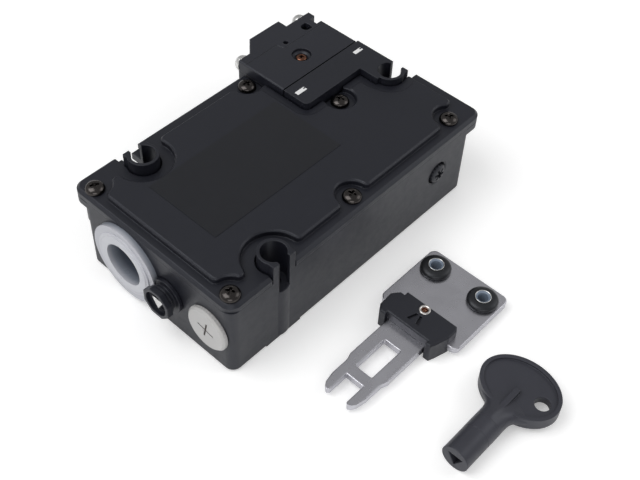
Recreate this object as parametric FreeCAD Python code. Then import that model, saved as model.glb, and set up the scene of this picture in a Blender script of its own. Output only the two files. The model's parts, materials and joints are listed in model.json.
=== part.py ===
import FreeCAD, Part
import math
import os
from FreeCAD import Placement, Rotation, Vector

os.makedirs("parts", exist_ok=True)

# Tongue-operated interlock switch with solenoid locking, its tongue and its release key.
# Millimetres. Origin: middle of the mounting plane, halfway between the two mounting holes
# at the cable entry end. +X runs to the actuating head, +Y to the side that carries the
# head's side entry, +Z out of the mounting plane.

# ---- case ----
base_length = 142.6
base_width = 84.0
base_corner_r = 4.0
wall = 3.0
floor_thk = 2.5
pad_h = 1.0                 # mounting pads stand proud of the base's underside
pad_width = 19.0
pad_depth = 12.0
joint_z = 36.0              # plane where lid and base meet
flange_thk = 3.6
overhang_side = 6.0         # lid and flange beyond the base on the head's side
overhang_end = 7.0          # lid and flange beyond the base at the far end
lid_corner_r = 5.0
lid_thk = 3.6
lid_edge_chamfer = 1.3
joint_chamfer = 0.5
lid_skin = 2.4
lid_hollow_inset = 19.0     # hollow under the panel, inside the lid's edge
panel_rise = 2.8            # raised panel above the lid's margin
panel_crest = 0.7
panel_point_r = 2.4         # rounds the panel's points between its scallops
panel_margin_entry = 4.6
panel_margin_near = 4.9
panel_margin_far = 6.6
panel_margin_end = 6.6
strip_width = 3.6           # lower strip of the panel along the head
strip_drop = 0.5
screw_scallop_r = 6.9
sleeve_scallop_r = 12.4
head_rise = 2.6             # tops of sleeves, marked plate and head above the panel
marked_corner_r = 2.4
seam_gap = 0.7
lid_gap = 0.6

# ---- mounting sleeves ----
entry_hole_x = 27.8         # cable entry wall to the first two mounting holes
hole_inset = 5.7            # side wall to a mounting hole
sleeve_r = 6.5
arm_half = 5.8
head_recess_r = 5.2
mount_hole_r = 2.75
slot_half = 2.8
seat_depth = 7.8            # screw head seat inside a sleeve, below the lid's joint
sleeve_column = 8.4         # half width of a sleeve's column inside the base

# ---- lid screws ----
lid_screw_head_r = 4.1
lid_screw_head_h = 2.7
lid_screw_r = 1.7
screw_column = 4.6          # half width of a screw's column inside the base

# ---- gasket ----
gasket_inset = 0.4
gasket_width = 1.2
gasket_thk = 1.2

# ---- actuating head ----
head_length = 47.6          # head and plate, measured from the far end of the base
plate_width = 13.3
head_side_inset = 18.7      # base side wall to the seam between plate and head
pocket_depth = 7.3          # head housing below the marked plate
plate_ledge = 13.7          # widening of the plate beside the end sleeve
head_gap = 0.2
head_end_gap = 0.6
head_z0 = 3.0
cover_thk = 5.5
ear_reach = 9.0             # left ear beyond the base side wall
ear_width = 7.0
block_reach = 16.6          # middle block beyond the base side wall
block_slope = 7.5
block_width = 18.0
end_ear_reach = 11.5
head_screw_r = 3.6
head_screw_h = 3.2
head_screw_len = 11.0
head_screw_drop = 3.7
cover_screw_inset_x = 22.6
cover_screw_inset_y = 11.1
cover_screw_depth = 2.0
insert_near = 1.0           # inner plate of the cover beyond the base side wall
insert_far = 4.8
insert_slant = 1.0
insert_groove = 0.3
window_inset = 9.2          # small window over the wheel

# ---- tongue and its slots ----
tongue_thk = 3.0
tongue_width = 19.0
slot_width = 4.6
slot_clear = 0.5            # above and below the tongue in its slot
insertion = 40.0
slot_a_reach = 5.0          # slot entered from the far end, beyond the base side wall
slot_b_inset = 24.2         # slot entered from the side, from the end of the base
mouth_depth = 2.0
mouth_flare = 1.2
tangent = 7.0               # wheel centre to the middle plane of either slot

# ---- wheel on its axle ----
axle_r = 2.5
hub_r = 4.2
tooth_r = 9.6
tooth_width = 3.6
wheel_thk = 6.0
wheel_cavity_r = 11.0
wheel_floor_z = 7.0
wheel_turn = 90.0
lock_disc_r = 10.0
lock_disc_z = 9.0
lock_disc_thk = 4.0
disc_gap = 1.0
cam_thk = 4.0
cam_r_out = 9.4
cam_fall = 2.4              # drop of the cam's edge along the rod over the whole turn

# ---- lock bolt, bracket and solenoid ----
bolt_offset = 5.0           # bolt axis below the wheel centre
bolt_width = 5.0
bolt_h = 3.4
bolt_clear = 0.4
lock_stroke = 3.5
lock_gap = 0.35
solenoid_y = 18.0
solenoid_z = 18.6
yoke_gap = 0.6              # yoke clear of the far sleeve's column
spring_room = 5.0
foot_half = 7.0
yoke_screw_len = 3.2
yoke_size = 26.0
yoke_thk = 2.5
plunger_r = 4.5
plunger_clear = 0.3
bobbin_wall = 1.3
bobbin_flange_thk = 1.5
winding_r = 9.6
bracket_room = 10.2         # bracket's entry face before the head's pocket wall
bracket_thk = 2.0
bar_y = 1.5
bar_thk = 1.5
bar_h = 6.0

# ---- manual release ----
entry_z = 19.6              # axis height of everything in the entry wall
release_y = -7.6
collar_reach = 7.0
collar_flats = 13.6
collar_bore_r = 5.6
collar_cup_r = 4.2
collar_barrel_r = 4.9
collar_neck_r = 4.9
spindle_r = 3.0
running = 0.08
triangle_side = 6.2
drum_r = 4.5
drum_x = -21.0
drum_length = 12.0
rib_r = 7.2
rib_thk = 1.8
rib_x = -13.5
rib_spare = 15.0
fork_clear = 0.75
fork_thk = 2.2

# ---- contacts ----
rod_offset = 5.0
rod_r = 1.5
rod_clear = 0.25
contact_width = 18.5
contact_inset = 8.0
contact_depth = 21.0
contact_wall = 2.0
contact_top = 24.0
carriage_half = 4.2
carriage_inset = 6.0
carriage_length = 10.5
rod_travel = 1.9
bridge_z = [10.0, 21.0]

# ---- board and terminals ----
board_inset_x = 39.8
board_inset_y = 13.0
board_length = 40.0
board_width = 25.0
board_thk = 1.6
board_lift = 2.5
terminals = 6
terminal_pitch = 5.3
terminal_depth = 13.0
terminal_h = 11.0
terminal_ledge = 4.0
terminal_screw_r = 2.1

# ---- cable entry, blanking plug, side screw ----
cable_y = 16.0
cable_r = 11.7
cable_boss = 6.0            # depth of the ring that carries the cable entry
plug_flange_r = 18.0
plug_flange_thk = 3.0
plug_cup_r = 9.7
plug_depth = 13.0
blank_inset = 12.0
blank_r = 7.3
blank_head_r = 10.0
blank_head_thk = 2.2
side_screw_inset = 21.3
side_screw_z = 22.5
side_recess_r = 6.0
side_recess_depth = 2.4

# ---- bare label field ----
label_thk = 0.15
label_inset_entry = 19.0
label_inset_head = 5.8
label_inset_near = 27.5
label_inset_far = 19.0

# ---- loose tongue actuator ----
actuator_y = -79.0
plate_rear_x = 72.7
plate_length = 35.2
plate_span = 39.0
plate_corner_r = 3.0
plate_z = 2.0
tongue_tip_x = -9.9
window_x = 5.5
window_length = 17.0
window_half = 4.0
fork_depth = 10.2
fork_half = 4.15
shoulder_x = 8.6
bush_x = 64.3
bush_pitch = 24.0
bush_r = 6.4
bush_neck_r = 4.2
bush_top_h = 3.0
bush_sleeve_r = 2.9
bush_bore_r = 2.25
guide_x0 = 30.9
guide_length = 13.3
guide_span = 30.5
guide_top_z = 9.5
guide_ear = 1.6
eyelet_r = 1.6
eyelet_flange_r = 2.6

# ---- loose release key ----
key_y = -127.0
key_x0 = -0.3
key_shank_r = 5.7
key_shank_length = 30.0
bow_x = 39.4
bow_half_x = 12.8
bow_half_y = 16.6
bow_thk = 3.6
bow_rim = 1.6
bow_rim_rise = 1.0
key_hole_r = 3.1
key_hole_y = -10.0
key_socket_depth = 10.0
key_fit = 0.35

# ---- planes and axes that follow ----
x_in = -entry_hole_x
x_out = x_in + base_length
y_near = -base_width / 2
y_far = base_width / 2
lid_x1 = x_out + overhang_end
lid_y1 = y_far + overhang_side
base_z = pad_h
floor_z = base_z + floor_thk
lid_top_z = joint_z + lid_thk
panel_z = lid_top_z + panel_rise
top_z = panel_z + head_rise
cover_z = top_z - cover_thk
seat_z = joint_z - seat_depth
head_x0 = x_out - head_length
slot_a_y = y_far + slot_a_reach
slot_b_x = x_out - slot_b_inset
seam_y = y_far - head_side_inset
plate_y0 = seam_y - plate_width
pocket_y0 = seam_y - pocket_depth
wheel_x = slot_b_x + tangent
wheel_y = slot_a_y - tangent
slot_z0 = cover_z - tongue_width - 2 * slot_clear
slot_mid_z = (slot_z0 + cover_z) / 2
bolt_y = wheel_y - bolt_offset
bolt_z = lock_disc_z + lock_disc_thk / 2
cam_z = lock_disc_z + lock_disc_thk + disc_gap
rod_x = wheel_x - rod_offset
rod_z = cam_z + cam_thk / 2
lid_screw_len = lid_top_z - entry_z - blank_r - 1
contact_y0 = y_near + contact_inset
contact_y1 = contact_y0 + contact_depth
carriage_y0 = contact_y0 + carriage_inset
bracket_x = head_x0 - wall - bracket_room
yoke_x = sleeve_column + yoke_gap
yoke_length = bracket_x - spring_room - yoke_x
blank_y = y_near + blank_inset
side_screw_x = x_out - side_screw_inset
board_x = x_in + board_inset_x
board_y = y_near + board_inset_y
board_z = floor_z + board_lift
terminal_z = board_z + board_thk
rib_pitch = lock_stroke * 360 / wheel_turn
end_sleeve_x = x_out - hole_inset
sleeve_y = y_far - hole_inset
SLEEVES = [(0, -sleeve_y, 0, -1), (0, sleeve_y, 0, 1), (end_sleeve_x, 0, 1, 0)]
LID_SCREWS = [
    (x_in + 5.4, y_near + 5.6),
    (x_in + 5.0, y_far - 2.8),
    (x_in + 72.5, y_near + 6.4),
    (x_out - 7.8, y_near + 7.0),
    (head_x0 - 5.4, y_far - 1.8),
    (head_x0 + 15.7, plate_y0 - 4.9),
]


def box(x0, x1, y0, y1, z0, z1):
    return Part.makeBox(x1 - x0, y1 - y0, z1 - z0, Vector(x0, y0, z0))


def rod(r, start, end):
    """Cylinder of radius r between two points."""
    a, b = Vector(*start), Vector(*end)
    return Part.makeCylinder(r, (b - a).Length, a, b - a)


def tube(r_out, r_in, start, end):
    return rod(r_out, start, end).cut(rod(r_in, start, end))


def prism(points, z0, z1):
    ring = [Vector(x, y, z0) for x, y in points]
    face = Part.Face(Part.makePolygon(ring + [ring[0]]))
    return face.extrude(Vector(0, 0, z1 - z0))


def rounded(shape, r, keep=lambda edge: True):
    """Round the vertical edges that keep() accepts."""
    edges = [e for e in shape.Edges if abs(e.tangentAt(e.FirstParameter).z) > 0.99 and keep(e)]
    return shape.makeFillet(r, edges)


def rounded_box(x0, x1, y0, y1, z0, z1, r):
    return rounded(box(x0, x1, y0, y1, z0, z1), r)


def fuse(shapes):
    whole = shapes[0]
    for shape in shapes[1:]:
        whole = whole.fuse(shape)
    return whole.removeSplitter()


def cut(shape, tools):
    for tool in tools:
        shape = shape.cut(tool)
    return shape


def revolved(profile, origin, direction):
    """Solid of revolution of an (radius, height) profile about direction through origin."""
    ring = [Vector(r, 0, h) for r, h in profile]
    face = Part.Face(Part.makePolygon(ring + [ring[0]]))
    solid = face.revolve(Vector(0, 0, 0), Vector(0, 0, 1), 360)
    solid.Placement = Placement(Vector(*origin), Rotation(Vector(0, 0, 1), Vector(*direction)))
    return solid


def cross_recess(origin, direction, size, depth, width):
    """Two crossed bars that sink depth below a screw's top at origin."""
    bars = box(-size, size, -width / 2, width / 2, -depth, 1)
    bars = bars.fuse(box(-width / 2, width / 2, -size, size, -depth, 1))
    bars.Placement = Placement(Vector(*origin), Rotation(Vector(0, 0, 1), Vector(*direction)))
    return bars


def pan_screw(seat, direction, head_r, head_h, shank_r, length):
    """Screw with a bevelled head above its seat along direction, shank below it."""
    profile = [(0, -length), (shank_r, -length), (shank_r, 0), (head_r, 0), (head_r, head_h * 0.5),
               (head_r * 0.7, head_h), (0, head_h)]
    return revolved(profile, seat, direction)


def helix_sweep(pitch, turns, radius, profile):
    path = Part.Wire(Part.makeHelix(pitch, pitch * turns, radius).Edges)
    return path.makePipeShell([profile], True, True)


def spring(start, axis, r, wire_r, length, turns):
    """Compression spring between two flat seats; start is the middle of its first seat."""
    steps = 10
    rise = (length - 2.6 * wire_r) / (turns * steps)
    points = [Vector(r * math.cos(2 * math.pi * i / steps), r * math.sin(2 * math.pi * i / steps),
                     1.3 * wire_r + rise * i) for i in range(turns * steps + 1)]
    along = points[1] - points[0]
    side = along.cross(Vector(0, 0, 1)).normalize()
    up = side.cross(along).normalize()
    corners = [points[0] + side * (wire_r * math.cos(a)) + up * (wire_r * math.sin(a))
               for a in [math.pi / 3 * i for i in range(6)]]
    section = Part.makePolygon(corners + [corners[0]])
    body = Part.makePolygon(points).makePipeShell([section], True, False, 1)
    body.Placement = Placement(Vector(*start), Rotation(Vector(0, 0, 1), Vector(*axis))).multiply(body.Placement)
    return body


def triangle_bar(x0, x1, y, z, side):
    """Triangular bar along X, one corner down."""
    r = side / math.sqrt(3)
    corners = [Vector(x0, y + r * math.cos(a), z + r * math.sin(a))
               for a in [math.radians(-90 + 120 * i) for i in range(3)]]
    face = Part.Face(Part.makePolygon(corners + [corners[0]]))
    return face.extrude(Vector(x1 - x0, 0, 0))


def save(name, *solids):
    shape = solids[0] if len(solids) == 1 else Part.makeCompound(list(solids))
    assert shape.isValid(), name
    shape.exportStep("parts/%s.step" % name)
    print(name, len(shape.Solids), round(shape.Volume, 1))


# ---------------------------------------------------------------- base housing
def plan_face(solid):
    """Underside of a plan drawn as a flat solid."""
    return [f for f in solid.Faces if f.normalAt(0, 0).z < -0.9][0]


def cavity_outline():
    """Inside of the base seen from above: an L round the head, less sleeve and screw columns."""
    inside = prism([(x_in + wall, y_near + wall), (x_out - wall, y_near + wall),
                    (x_out - wall, pocket_y0 - wall), (head_x0 - wall, pocket_y0 - wall),
                    (head_x0 - wall, y_far - wall), (x_in + wall, y_far - wall)], 0, 1)
    columns = [(x, y, sleeve_column) for x, y, dx, dy in SLEEVES]
    columns += [(x, y, screw_column) for x, y in LID_SCREWS]
    x, y = LID_SCREWS[-1]
    columns.append((x, pocket_y0 - wall, screw_column))
    tools = [box(x - half, x + half, y - half, y + half, -1, 2) for x, y, half in columns]
    return plan_face(cut(inside, tools).removeSplitter())


def raised(face, z0, z1):
    solid = face.extrude(Vector(0, 0, z1 - z0))
    solid.translate(Vector(0, 0, z0 - face.BoundBox.ZMin))
    return solid


def gasket_ring(z0, z1):
    floor = cavity_outline()
    outer = floor.makeOffset2D(gasket_inset + gasket_width, 2)
    inner = floor.makeOffset2D(gasket_inset, 2)
    return raised(outer, z0, z1).cut(raised(inner, z0 - 1, z1 + 1))


def flange_outline(z0, z1):
    """Common outline of lid and base flange, open for the head."""
    return rounded_box(x_in, lid_x1, y_near, lid_y1, z0, z1, lid_corner_r)


def chamfered_top(solid, size):
    top = solid.BoundBox.ZMax
    rim = [e for e in solid.Edges if min(v.Z for v in e.Vertexes) > top - 0.01]
    return solid.makeChamfer(size, rim)


def corner_rounded(x0, x1, y0, y1, z0, z1, r):
    """Box with only its corner at (x0, y0) rounded."""
    solid = box(x0, x1, y0, y1, z0, z1)
    return rounded(solid, r, lambda e: abs(e.CenterOfMass.x - x0) + abs(e.CenterOfMass.y - y0) < 0.01)


def head_clearance(z0, z1, gap):
    """Space taken by plate, end sleeve and head, grown by gap."""
    spaces = [
        corner_rounded(head_x0 - gap, lid_x1 + 1, plate_y0 - gap, lid_y1 + 1, z0, z1, marked_corner_r + gap),
        box(x_out - plate_ledge - gap, lid_x1 + 1, 0, lid_y1 + 1, z0, z1),
        rod(sleeve_r + gap, (end_sleeve_x, 0, z0), (end_sleeve_x, 0, z1)),
        box(end_sleeve_x, lid_x1 + 1, -arm_half - gap, 1, z0, z1),
    ]
    return fuse(spaces)


def sleeve_solid(x, y, dx, dy):
    arm = box(-arm_half, arm_half, 0, hole_inset, base_z, top_z)
    pad = box(-pad_width / 2, pad_width / 2, hole_inset - pad_depth, hole_inset, 0, base_z + 1)
    solid = rod(sleeve_r, (0, 0, base_z), (0, 0, top_z)).fuse(arm).fuse(pad)
    return placed(solid, x, y, dx, dy)


def sleeve_cuts(x, y, dx, dy):
    out = hole_inset + overhang_end + 1
    tools = [
        rod(head_recess_r, (0, 0, seat_z), (0, 0, top_z + 1)),
        box(-slot_half, slot_half, 0, out, seat_z, top_z + 1),
        rod(mount_hole_r, (0, 0, -1), (0, 0, top_z)),
    ]
    return [placed(tool, x, y, dx, dy) for tool in tools]


def placed(shape, x, y, dx, dy):
    """Turn a sleeve feature drawn with its opening along +Y to open along (dx, dy)."""
    angle = math.degrees(math.atan2(dy, dx)) - 90
    copy = shape.copy()
    copy.rotate(Vector(0, 0, 0), Vector(0, 0, 1), angle)
    copy.translate(Vector(x, y, 0))
    return copy


def base_housing():
    shell = rounded_box(x_in, x_out, y_near, y_far, base_z, joint_z, base_corner_r)
    flange = chamfered_top(flange_outline(joint_z - flange_thk, joint_z), joint_chamfer)
    far_bosses = [rod(screw_column, (x, y, joint_z - lid_screw_len), (x, y, joint_z - joint_chamfer))
                  for x, y in LID_SCREWS if y > y_far - screw_column]
    case = fuse([shell, flange] + far_bosses)
    case = case.cut(raised(cavity_outline(), floor_z, joint_z + 1))
    # corner taken up by the head
    case = case.cut(box(head_x0, lid_x1 + 1, pocket_y0, lid_y1 + 1, -1, joint_z + 1))
    case = case.cut(box(x_out, lid_x1 + 1, -arm_half, lid_y1 + 1, -1, joint_z + 1))
    # marked plate beside the head, carried by the pocket wall
    plate = [
        corner_rounded(head_x0, x_out, plate_y0, pocket_y0, joint_z - 8, top_z, marked_corner_r),
        box(head_x0, x_out, pocket_y0 - 1, seam_y, cover_z + head_gap, top_z),
        box(x_out - plate_ledge, x_out, 0, plate_y0 + 1, joint_z - 8, top_z),
    ]
    sleeves = [sleeve_solid(*s) for s in SLEEVES]
    bosses = [
        rod(cable_r + 2.4, (x_in, cable_y, entry_z), (x_in + cable_boss, cable_y, entry_z)),
        rod(blank_r + 2.2, (x_in, blank_y, entry_z), (x_in + 6, blank_y, entry_z)),
        rod(side_recess_r + 1.5, (side_screw_x, y_near, side_screw_z),
            (side_screw_x, y_near + 6, side_screw_z)),
        box(yoke_x + 2, yoke_x + yoke_length - 2, solenoid_y - 9, solenoid_y + 9,
            floor_z - 1, solenoid_z - yoke_size / 2),
    ]
    bosses += [box(x - 3, x + 3, y - 3, y + 3, floor_z - 1, solenoid_z - yoke_size / 2)
               for x, y in yoke_screw_places()]
    bosses += [box(board_x + 2, board_x + board_length - 2, y - 1, y + 1, floor_z - 1, board_z)
               for y in (board_y + 3, board_y + board_width - 3)]
    inside = box(x_in, x_out, y_near, y_far, base_z, joint_z)
    case = fuse([case] + plate + sleeves + [boss.common(inside) for boss in bosses])
    tools = []
    for s in SLEEVES:
        tools += sleeve_cuts(*s)
    tools += [
        rod(cable_r, (x_in - 1, cable_y, entry_z), (x_in + 8, cable_y, entry_z)),
        rod(blank_r, (x_in - 1, blank_y, entry_z), (x_in + 12, blank_y, entry_z)),
        rod(collar_neck_r, (x_in - 1, release_y, entry_z), (x_in + wall + 1, release_y, entry_z)),
        rod(side_recess_r, (side_screw_x, y_near - 1, side_screw_z),
            (side_screw_x, y_near + side_recess_depth, side_screw_z)),
        rod(3.0, (side_screw_x, y_near, side_screw_z), (side_screw_x, y_near + 7, side_screw_z)),
        box(head_x0 - 12, head_x0 + 1, bolt_y - bolt_width / 2 - bolt_clear,
            bolt_y + bolt_width / 2 + bolt_clear, bolt_z - bolt_h / 2 - bolt_clear,
            bolt_z + bolt_h / 2 + bolt_clear),
        rod(rod_r + rod_clear, (rod_x, pocket_y0 - wall - 1, rod_z), (rod_x, pocket_y0 + 1, rod_z)),
        gasket_ring(joint_z - gasket_thk, joint_z + 1),
    ]
    tools += [rod(lid_screw_r, (x, y, joint_z - lid_screw_len + lid_thk), (x, y, joint_z + 1))
              for x, y in LID_SCREWS]
    tools += [rod(1.25, (x, y, floor_z), (x, y, solenoid_z - yoke_size / 2 + 1)) for x, y in yoke_screw_places()]
    case = cut(case, tools)
    return case.removeSplitter()


# ---------------------------------------------------------------- lid
def raised_panel():
    """Panel with a scallop at each screw and entry sleeve, its points rounded and its crest bevelled."""
    plan = box(x_in + panel_margin_entry, lid_x1 - panel_margin_end,
               y_near + panel_margin_near, lid_y1 - panel_margin_far, 0, 1)
    scallops = [(x, y, screw_scallop_r) for x, y in LID_SCREWS]
    scallops += [(x, y, sleeve_scallop_r) for x, y, dx, dy in SLEEVES[:2]]
    tools = [rod(r, (x, y, -1), (x, y, 2)) for x, y, r in scallops] + [head_clearance(-1, 2, -1.0)]
    plan = plan_face(cut(plan, tools).removeSplitter())
    plan = plan.makeOffset2D(-panel_point_r).makeOffset2D(panel_point_r)
    panel = raised(plan, lid_top_z - 0.5, panel_z)
    crest = [e for e in panel.Edges if min(v.Z for v in e.Vertexes) > panel_z - 0.01]
    panel = panel.makeChamfer(panel_crest, crest)
    step_z = panel_z - strip_drop
    panel = panel.cut(head_clearance(step_z, top_z, lid_gap + strip_width))
    return panel.cut(rod(sleeve_scallop_r - 1, (end_sleeve_x, 0, step_z), (end_sleeve_x, 0, top_z)))


def lid():
    plate = chamfered_top(flange_outline(joint_z, lid_top_z), lid_edge_chamfer)
    whole = plate.fuse(raised_panel())
    tools = [head_clearance(joint_z - 1, top_z, lid_gap)]
    for x, y, dx, dy in SLEEVES[:2]:
        tools.append(rod(sleeve_r + lid_gap, (x, y, joint_z - 1), (x, y, top_z)))
        reach = hole_inset + overhang_side + 1
        tools.append(placed(box(-arm_half - lid_gap, arm_half + lid_gap, 0, reach, joint_z - 1, top_z), x, y, dx, dy))
    tools += [rod(lid_screw_r + 0.3, (x, y, joint_z - 1), (x, y, lid_top_z + 1)) for x, y in LID_SCREWS]
    tools.append(box(x_in + lid_hollow_inset, head_x0 - lid_hollow_inset, y_near + lid_hollow_inset,
                     y_far - lid_hollow_inset, joint_z - 1, panel_z - lid_skin))
    return cut(whole, tools).removeSplitter()


def lid_screws():
    return [pan_screw((x, y, lid_top_z), (0, 0, 1), lid_screw_head_r, lid_screw_head_h,
                      lid_screw_r, lid_screw_len) for x, y in LID_SCREWS]


# ---------------------------------------------------------------- actuating head
def head_plan(y0):
    """Outline of the head from above; y0 is its edge towards the plate."""
    block_x1 = slot_b_x + block_width / 2
    block_x0 = block_x1 - block_width
    left = head_x0 + head_gap
    return [(left, y0), (x_out - head_end_gap, y0), (x_out - head_end_gap, y_far + end_ear_reach),
            (block_x1, y_far + end_ear_reach), (block_x1, y_far + block_reach),
            (block_x0, y_far + block_reach), (block_x0 - block_slope, y_far + ear_reach),
            (left, y_far + ear_reach)]


def slot_a(z0, z1):
    """Slot for the tongue from the far end, with its lead-in."""
    tip = x_out - insertion - 1
    straight = box(tip, x_out + 1, slot_a_y - slot_width / 2, slot_a_y + slot_width / 2, z0, z1)
    flare = slot_width / 2 + mouth_flare
    mouth = box(x_out - head_end_gap - mouth_depth, x_out + 1, slot_a_y - flare, slot_a_y + flare,
                z0 - mouth_flare, z1)
    return straight.fuse(mouth)


def slot_b(z0, z1):
    """Slot for the tongue from the side, with its lead-in."""
    face_y = y_far + block_reach
    straight = box(slot_b_x - slot_width / 2, slot_b_x + slot_width / 2, face_y - insertion - 1,
                   face_y + 1, z0, z1)
    flare = slot_width / 2 + mouth_flare
    mouth = box(slot_b_x - flare, slot_b_x + flare, face_y - mouth_depth, face_y + 1,
                z0 - mouth_flare, z1)
    return straight.fuse(mouth)


def head_screw_places():
    return [(head_x0 + 3.4, y_far + ear_reach, top_z - head_screw_drop),
            (x_out - 5.4, y_far + end_ear_reach, top_z - head_screw_drop)]


def head_housing():
    body = prism(head_plan(pocket_y0 + head_gap), head_z0, cover_z)
    tools = [
        slot_a(slot_z0, cover_z + 1),
        slot_b(slot_z0, cover_z + 1),
        rod(wheel_cavity_r, (wheel_x, wheel_y, wheel_floor_z), (wheel_x, wheel_y, cover_z + 1)),
        rod(axle_r + running, (wheel_x, wheel_y, wheel_floor_z - 2), (wheel_x, wheel_y, cover_z)),
        box(head_x0 - 1, wheel_x - 3, bolt_y - bolt_width / 2 - bolt_clear,
            bolt_y + bolt_width / 2 + bolt_clear, bolt_z - bolt_h / 2 - bolt_clear,
            bolt_z + bolt_h / 2 + bolt_clear),
        rod(rod_r + rod_clear, (rod_x, pocket_y0, rod_z), (rod_x, wheel_y - 5, rod_z)),
    ]
    return cut(body, tools)


def insert_joint():
    """Fine groove round the inner plate of the cover, along its far and slanting edges."""
    half = insert_groove / 2
    x_step = slot_b_x - slot_width / 2 - 0.6
    near, far = y_far + insert_near, y_far + insert_far
    slant = [(x_step - half, near), (x_step + half, near), (x_step + half - insert_slant, far),
             (x_step - half - insert_slant, far)]
    z0, z1 = top_z - insert_groove, top_z + 1
    return [box(head_x0 - 1, x_step - insert_slant, far - half, far + half, z0, z1), prism(slant, z0, z1),
            box(x_step, x_out + 1, near - half, near + half, z0, z1)]


def head_cover():
    body = prism(head_plan(seam_y + seam_gap), cover_z, top_z)
    x, y = cover_screw_x(), cover_screw_y()
    window_x1 = x_out - window_inset
    tools = [
        rod(axle_r + running, (wheel_x, wheel_y, cover_z - 1), (wheel_x, wheel_y, cover_z + 2.5)),
        box(x_out - head_end_gap - 3.4, x_out + 1, slot_a_y - slot_width / 2,
            slot_a_y + slot_width / 2, cover_z - 1, top_z + 1),
        rod(slot_width / 2, (window_x1, slot_a_y - 0.4, cover_z - 1), (window_x1, slot_a_y - 0.4, top_z + 1)),
        box(window_x1, window_x1 + 2.0, slot_a_y - 0.4 - slot_width / 2, slot_a_y - 0.4 + slot_width / 2,
            cover_z - 1, top_z + 1),
        rod(4.4, (x, y, top_z - cover_screw_depth), (x, y, top_z + 1)),
        rod(1.6, (x, y, cover_z - 1), (x, y, top_z)),
        rod(1.2, (slot_b_x + 0.4, wheel_y + 5.2, top_z - 2.5), (slot_b_x + 0.4, wheel_y + 5.2, top_z + 1)),
    ]
    tools += [rod(1.6, (x, y + 1, z), (x, y - head_screw_len - 1, z)) for x, y, z in head_screw_places()]
    body = cut(body, tools)
    crest = [e for e in body.Edges if min(v.Z for v in e.Vertexes) > top_z - 0.01 and
             e.Curve.TypeId == "Part::GeomLine" and e.Length > 9 and e.CenterOfMass.y > seam_y + 2]
    body = body.makeChamfer(0.5, crest)
    return cut(body, insert_joint())


def cover_screw_x():
    return head_x0 + cover_screw_inset_x


def cover_screw_y():
    return seam_y + cover_screw_inset_y


def cam_wheel():
    """Wheel with four teeth; a tooth stands in the path of the tongue at either slot."""
    z0 = slot_mid_z - wheel_thk / 2
    teeth = []
    for i in range(4):
        bar = box(0, tooth_r, -tooth_width / 2, tooth_width / 2, z0, z0 + wheel_thk)
        bar.rotate(Vector(0, 0, 0), Vector(0, 0, 1), 45 + 90 * i)
        teeth.append(bar)
    rim = rod(tooth_r, (0, 0, z0), (0, 0, z0 + wheel_thk))
    star = fuse(teeth).common(rim)
    hub = rod(hub_r, (0, 0, cam_z + cam_thk), (0, 0, cover_z - 0.4))
    wheel = fuse([star, hub]).cut(rod(axle_r, (0, 0, 0), (0, 0, top_z)))
    wheel.translate(Vector(wheel_x, wheel_y, 0))
    return wheel


def lock_disc():
    disc = rod(lock_disc_r, (0, 0, lock_disc_z), (0, 0, lock_disc_z + lock_disc_thk))
    hub = rod(hub_r, (0, 0, wheel_floor_z + 0.3), (0, 0, cam_z))
    notch = box(-lock_disc_r - 1, bolt_tip_x() - wheel_x + lock_stroke + 1, -bolt_offset - bolt_width / 2 - 0.3,
                -bolt_offset + bolt_width / 2 + 0.3, lock_disc_z - 1, lock_disc_z + lock_disc_thk + 1)
    notch.rotate(Vector(0, 0, 0), Vector(0, 0, 1), -wheel_turn)
    solid = fuse([disc, hub]).cut(notch).cut(rod(axle_r, (0, 0, 0), (0, 0, top_z)))
    solid = solid.fuse(tube(hub_r, axle_r, (0, 0, wheel_floor_z + 0.3), (0, 0, cam_z)))
    solid.translate(Vector(wheel_x, wheel_y, 0))
    return solid.removeSplitter()


def cam_radius(turn):
    """Radius that faces the rod when the wheel has turned by turn degrees."""
    share = min(max(turn / wheel_turn, 0), 1)
    reach = math.sqrt(cam_r_out ** 2 - rod_offset ** 2) - cam_fall * share
    return math.sqrt(reach ** 2 + rod_offset ** 2)


def contact_cam():
    """Cam whose edge falls away evenly, so the rod moves in step with the wheel."""
    points = []
    steps = 30
    for i in range(steps):
        turn = -30 + 150 * i / (steps - 1)
        r = cam_radius(turn)
        facing = math.atan2(-math.sqrt(r * r - rod_offset ** 2), -rod_offset)
        a = facing - math.radians(turn)
        points.append((r * math.cos(a), r * math.sin(a)))
    low = points[-1]
    start = points[0]
    a0 = math.atan2(low[1], low[0])
    a1 = math.atan2(start[1], start[0])
    r_low = math.hypot(*low)
    for i in range(1, steps // 2):
        share = 2 * i / steps
        a = a0 + (a1 - a0) * share
        r = r_low + (cam_r_out - r_low) * max(0, (share - 0.7) / 0.3)
        points.append((r * math.cos(a), r * math.sin(a)))
    cam = prism(points, cam_z, cam_z + cam_thk)
    cam = cam.cut(rod(axle_r, (0, 0, 0), (0, 0, top_z)))
    cam.translate(Vector(wheel_x, wheel_y, 0))
    return cam


def cam_axle():
    return rod(axle_r, (wheel_x, wheel_y, wheel_floor_z - 2 + 0.1), (wheel_x, wheel_y, cover_z + 2.4))


# ---------------------------------------------------------------- lock bolt and solenoid
def bolt_tip_x():
    """Bolt tip at rest, just clear of the disc's rim at the bolt's upper corner."""
    nearest = bolt_offset - bolt_width / 2
    return wheel_x - math.sqrt(lock_disc_r ** 2 - nearest ** 2) - lock_gap


def lock_bolt():
    return box(bracket_x + bracket_thk, bolt_tip_x(), bolt_y - bolt_width / 2, bolt_y + bolt_width / 2,
               bolt_z - bolt_h / 2, bolt_z + bolt_h / 2)


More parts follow.
